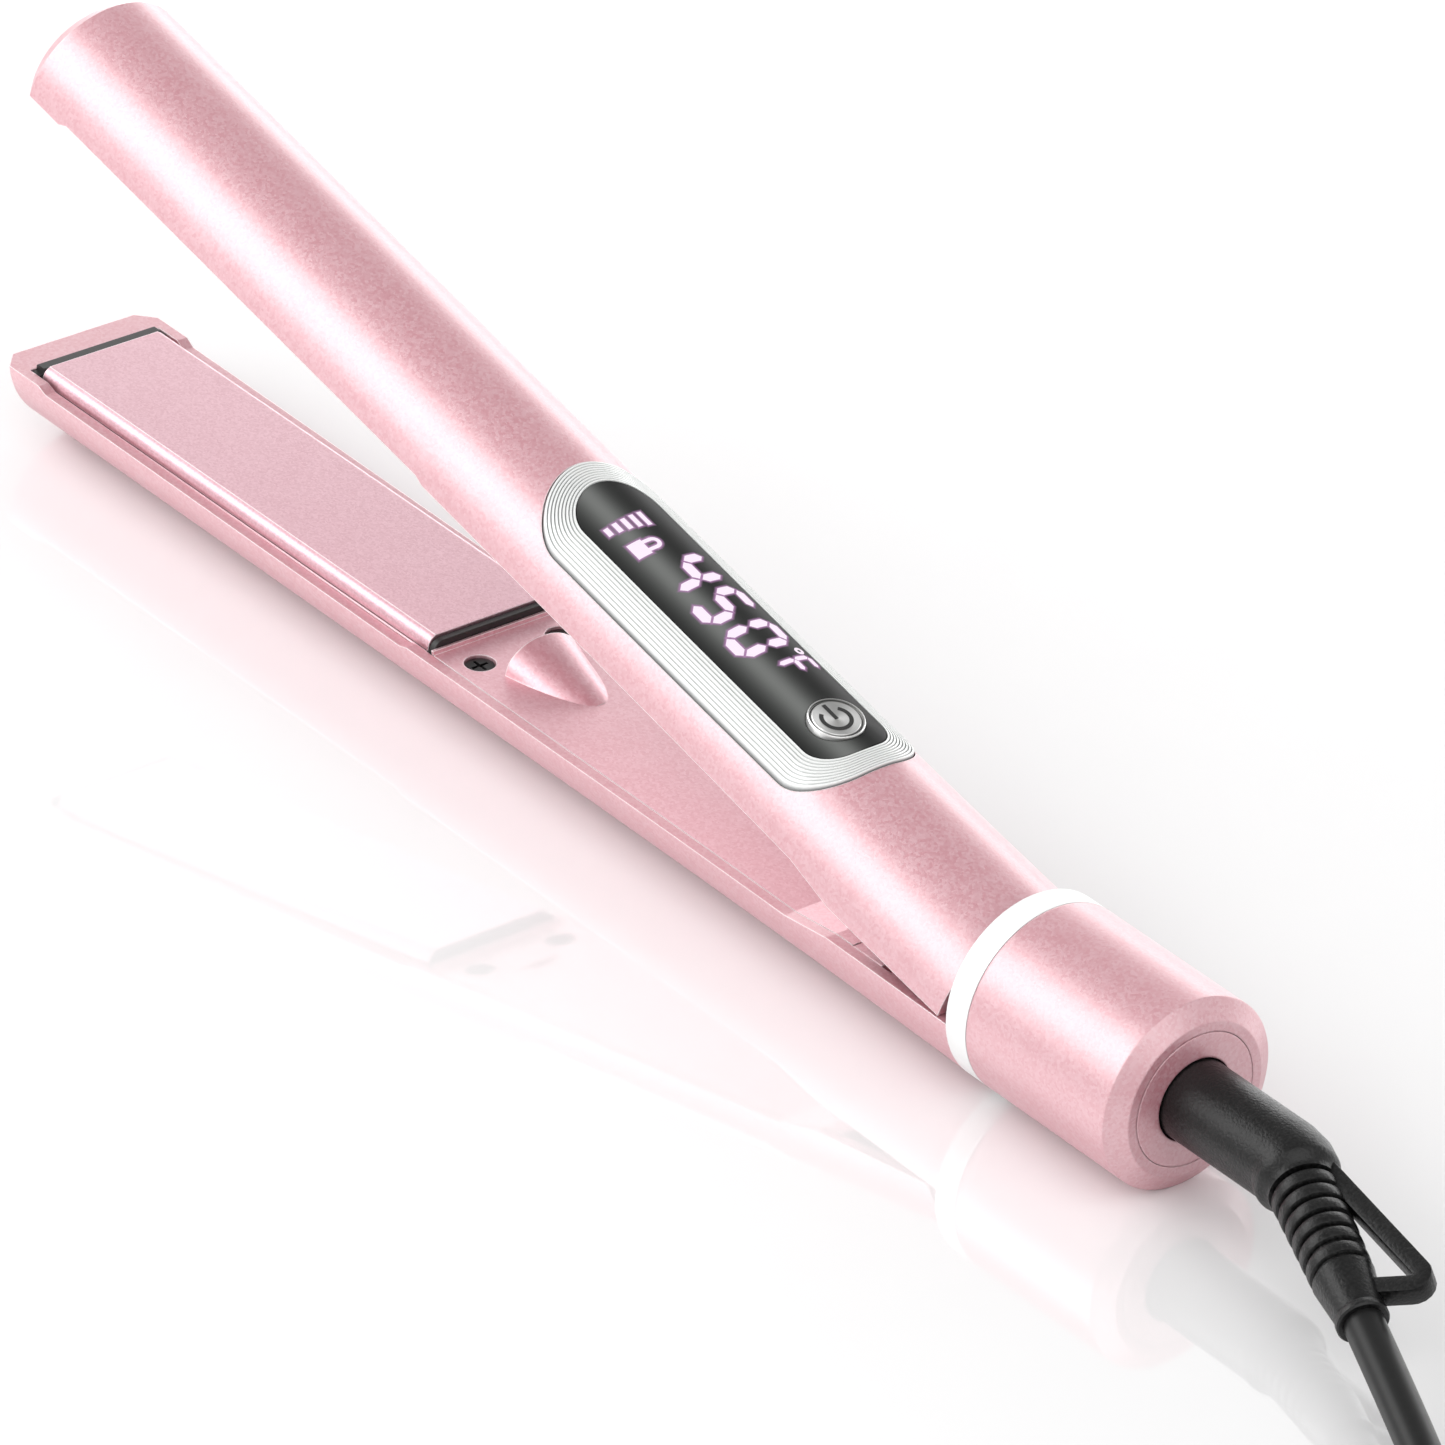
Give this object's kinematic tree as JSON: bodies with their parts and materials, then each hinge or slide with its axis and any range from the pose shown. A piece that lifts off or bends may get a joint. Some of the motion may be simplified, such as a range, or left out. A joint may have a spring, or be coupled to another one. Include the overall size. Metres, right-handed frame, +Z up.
{
  "type": "hair straightener",
  "caption": "Hinged hair straightener with half-round barrel arms, floating heating plates, a wrapped display with a power button, a twist dial and a swivel cord with a hanging loop.",
  "frame": {"origin": "on the floor under the middle of the body's length, cord and strain relief left out", "axes": "+X from the tips to the cord along the lower arm, +Z up, arms open in the XZ plane"},
  "size_m": [0.5172, 0.0604, 0.0804],
  "materials": {
    "rose_paint": "pearl rose paint with fine flake, satin gloss",
    "inner_rose": "moulded rose plastic, fine matte grain",
    "plate_coat": "satin ceramic coat",
    "white_trim": "satin white",
    "silver_trim": "fine concentric ribs, silver white",
    "dark_lens": "glossy black window with a lit readout",
    "brushed_metal": "brushed cap with a polished rim",
    "black_plastic": "moulded, fine grain",
    "spring_steel": "plain",
    "black_screw": "black oxide",
    "ceramic": "fired ceramic",
    "silicone": "translucent silicone",
    "board": "board with solder mask",
    "light_plastic": "white moulded plastic",
    "wire_jacket": "glass-braid sleeve",
    "contact_metal": "plain",
    "black_rubber": "spark-grained on the relief, smooth on the cord"
  },
  "bodies": {
    "base": {"lower_shell": "rose_paint", "lower_inner_cover": "inner_rose", "lower_plate_carrier": "black_plastic", "lower_cover_screws": "black_screw", "lower_float_pads": "silicone", "lower_wires": "wire_jacket", "hinge_chassis": "inner_rose", "hinge_pin": "spring_steel", "hinge_washers": "spring_steel", "hinge_spring": "spring_steel", "collar_ring": "white_trim", "end_disc": "rose_paint", "encoder_board": "board", "dial_detent_spring": "spring_steel", "contact_brushes": "contact_metal"},
    "upper_arm": {"upper_shell": "rose_paint", "upper_inner_cover": "inner_rose", "upper_plate_carrier": "black_plastic", "upper_cover_screws": "black_screw", "upper_float_pads": "silicone", "upper_wires": "wire_jacket", "hinge_bracket": "spring_steel", "display_bezel": "silver_trim", "display_lens": "dark_lens", "control_board": "board", "light_module": "light_plastic", "tact_switch": "black_plastic"},
    "lower_plate": {"lower_heating_plate": "plate_coat", "lower_heater": "ceramic", "lower_heater_clip": "spring_steel", "lower_thermal_fuse": "ceramic"},
    "upper_plate": {"upper_heating_plate": "plate_coat", "upper_heater": "ceramic", "upper_heater_clip": "spring_steel", "upper_thermal_fuse": "ceramic"},
    "power_button": {"power_button": "brushed_metal", "switch_plunger": "light_plastic"},
    "temperature_dial": {"temperature_dial": "rose_paint", "dial_contact_ring": "light_plastic"},
    "cord_swivel": {"swivel_rotor": "black_plastic", "slip_rings": "contact_metal", "strain_relief": "black_rubber", "cord_lead": "black_rubber", "cord_hank": "black_rubber", "cord_tie": "black_rubber", "plug_body": "black_rubber", "plug_blades": "contact_metal"}
  },
  "joints": [
    {"name": "arm_hinge", "type": "hinge", "parent": "base", "child": "upper_arm", "pos_m": [0.0883, 0, 0.0181], "axis": [0, -1, 0], "range_deg": [0, 12.5], "stiffness_Nm_per_rad": 0.5, "springref_deg": -34.38, "deforming": ["hinge_spring"]},
    {"name": "lower_plate_float", "type": "slide", "parent": "base", "child": "lower_plate", "axis": [0, 0, -1], "range_m": [0, 0.001], "stiffness_N_per_m": 2000, "springref_m": -0.001, "deforming": ["lower_float_pads"]},
    {"name": "upper_plate_float", "type": "slide", "parent": "upper_arm", "child": "upper_plate", "axis": [0.2164, 0, 0.9763], "range_m": [0, 0.001], "stiffness_N_per_m": 2000, "springref_m": -0.001, "deforming": ["upper_float_pads"]},
    {"name": "button_press", "type": "slide", "parent": "upper_arm", "child": "power_button", "axis": [-0.2164, 0, -0.9763], "range_m": [0, 0.0005], "stiffness_N_per_m": 1500, "springref_m": -0.0005},
    {"name": "dial_turn", "type": "hinge", "parent": "base", "child": "temperature_dial", "pos_m": [0.127, 0, 0.016], "axis": [1, 0, 0], "range_deg": [-135, 135]},
    {"name": "cord_turn", "type": "hinge", "parent": "base", "child": "cord_swivel", "pos_m": [0.14, 0, 0.016], "axis": [1, 0, 0], "continuous": true}
  ]
}
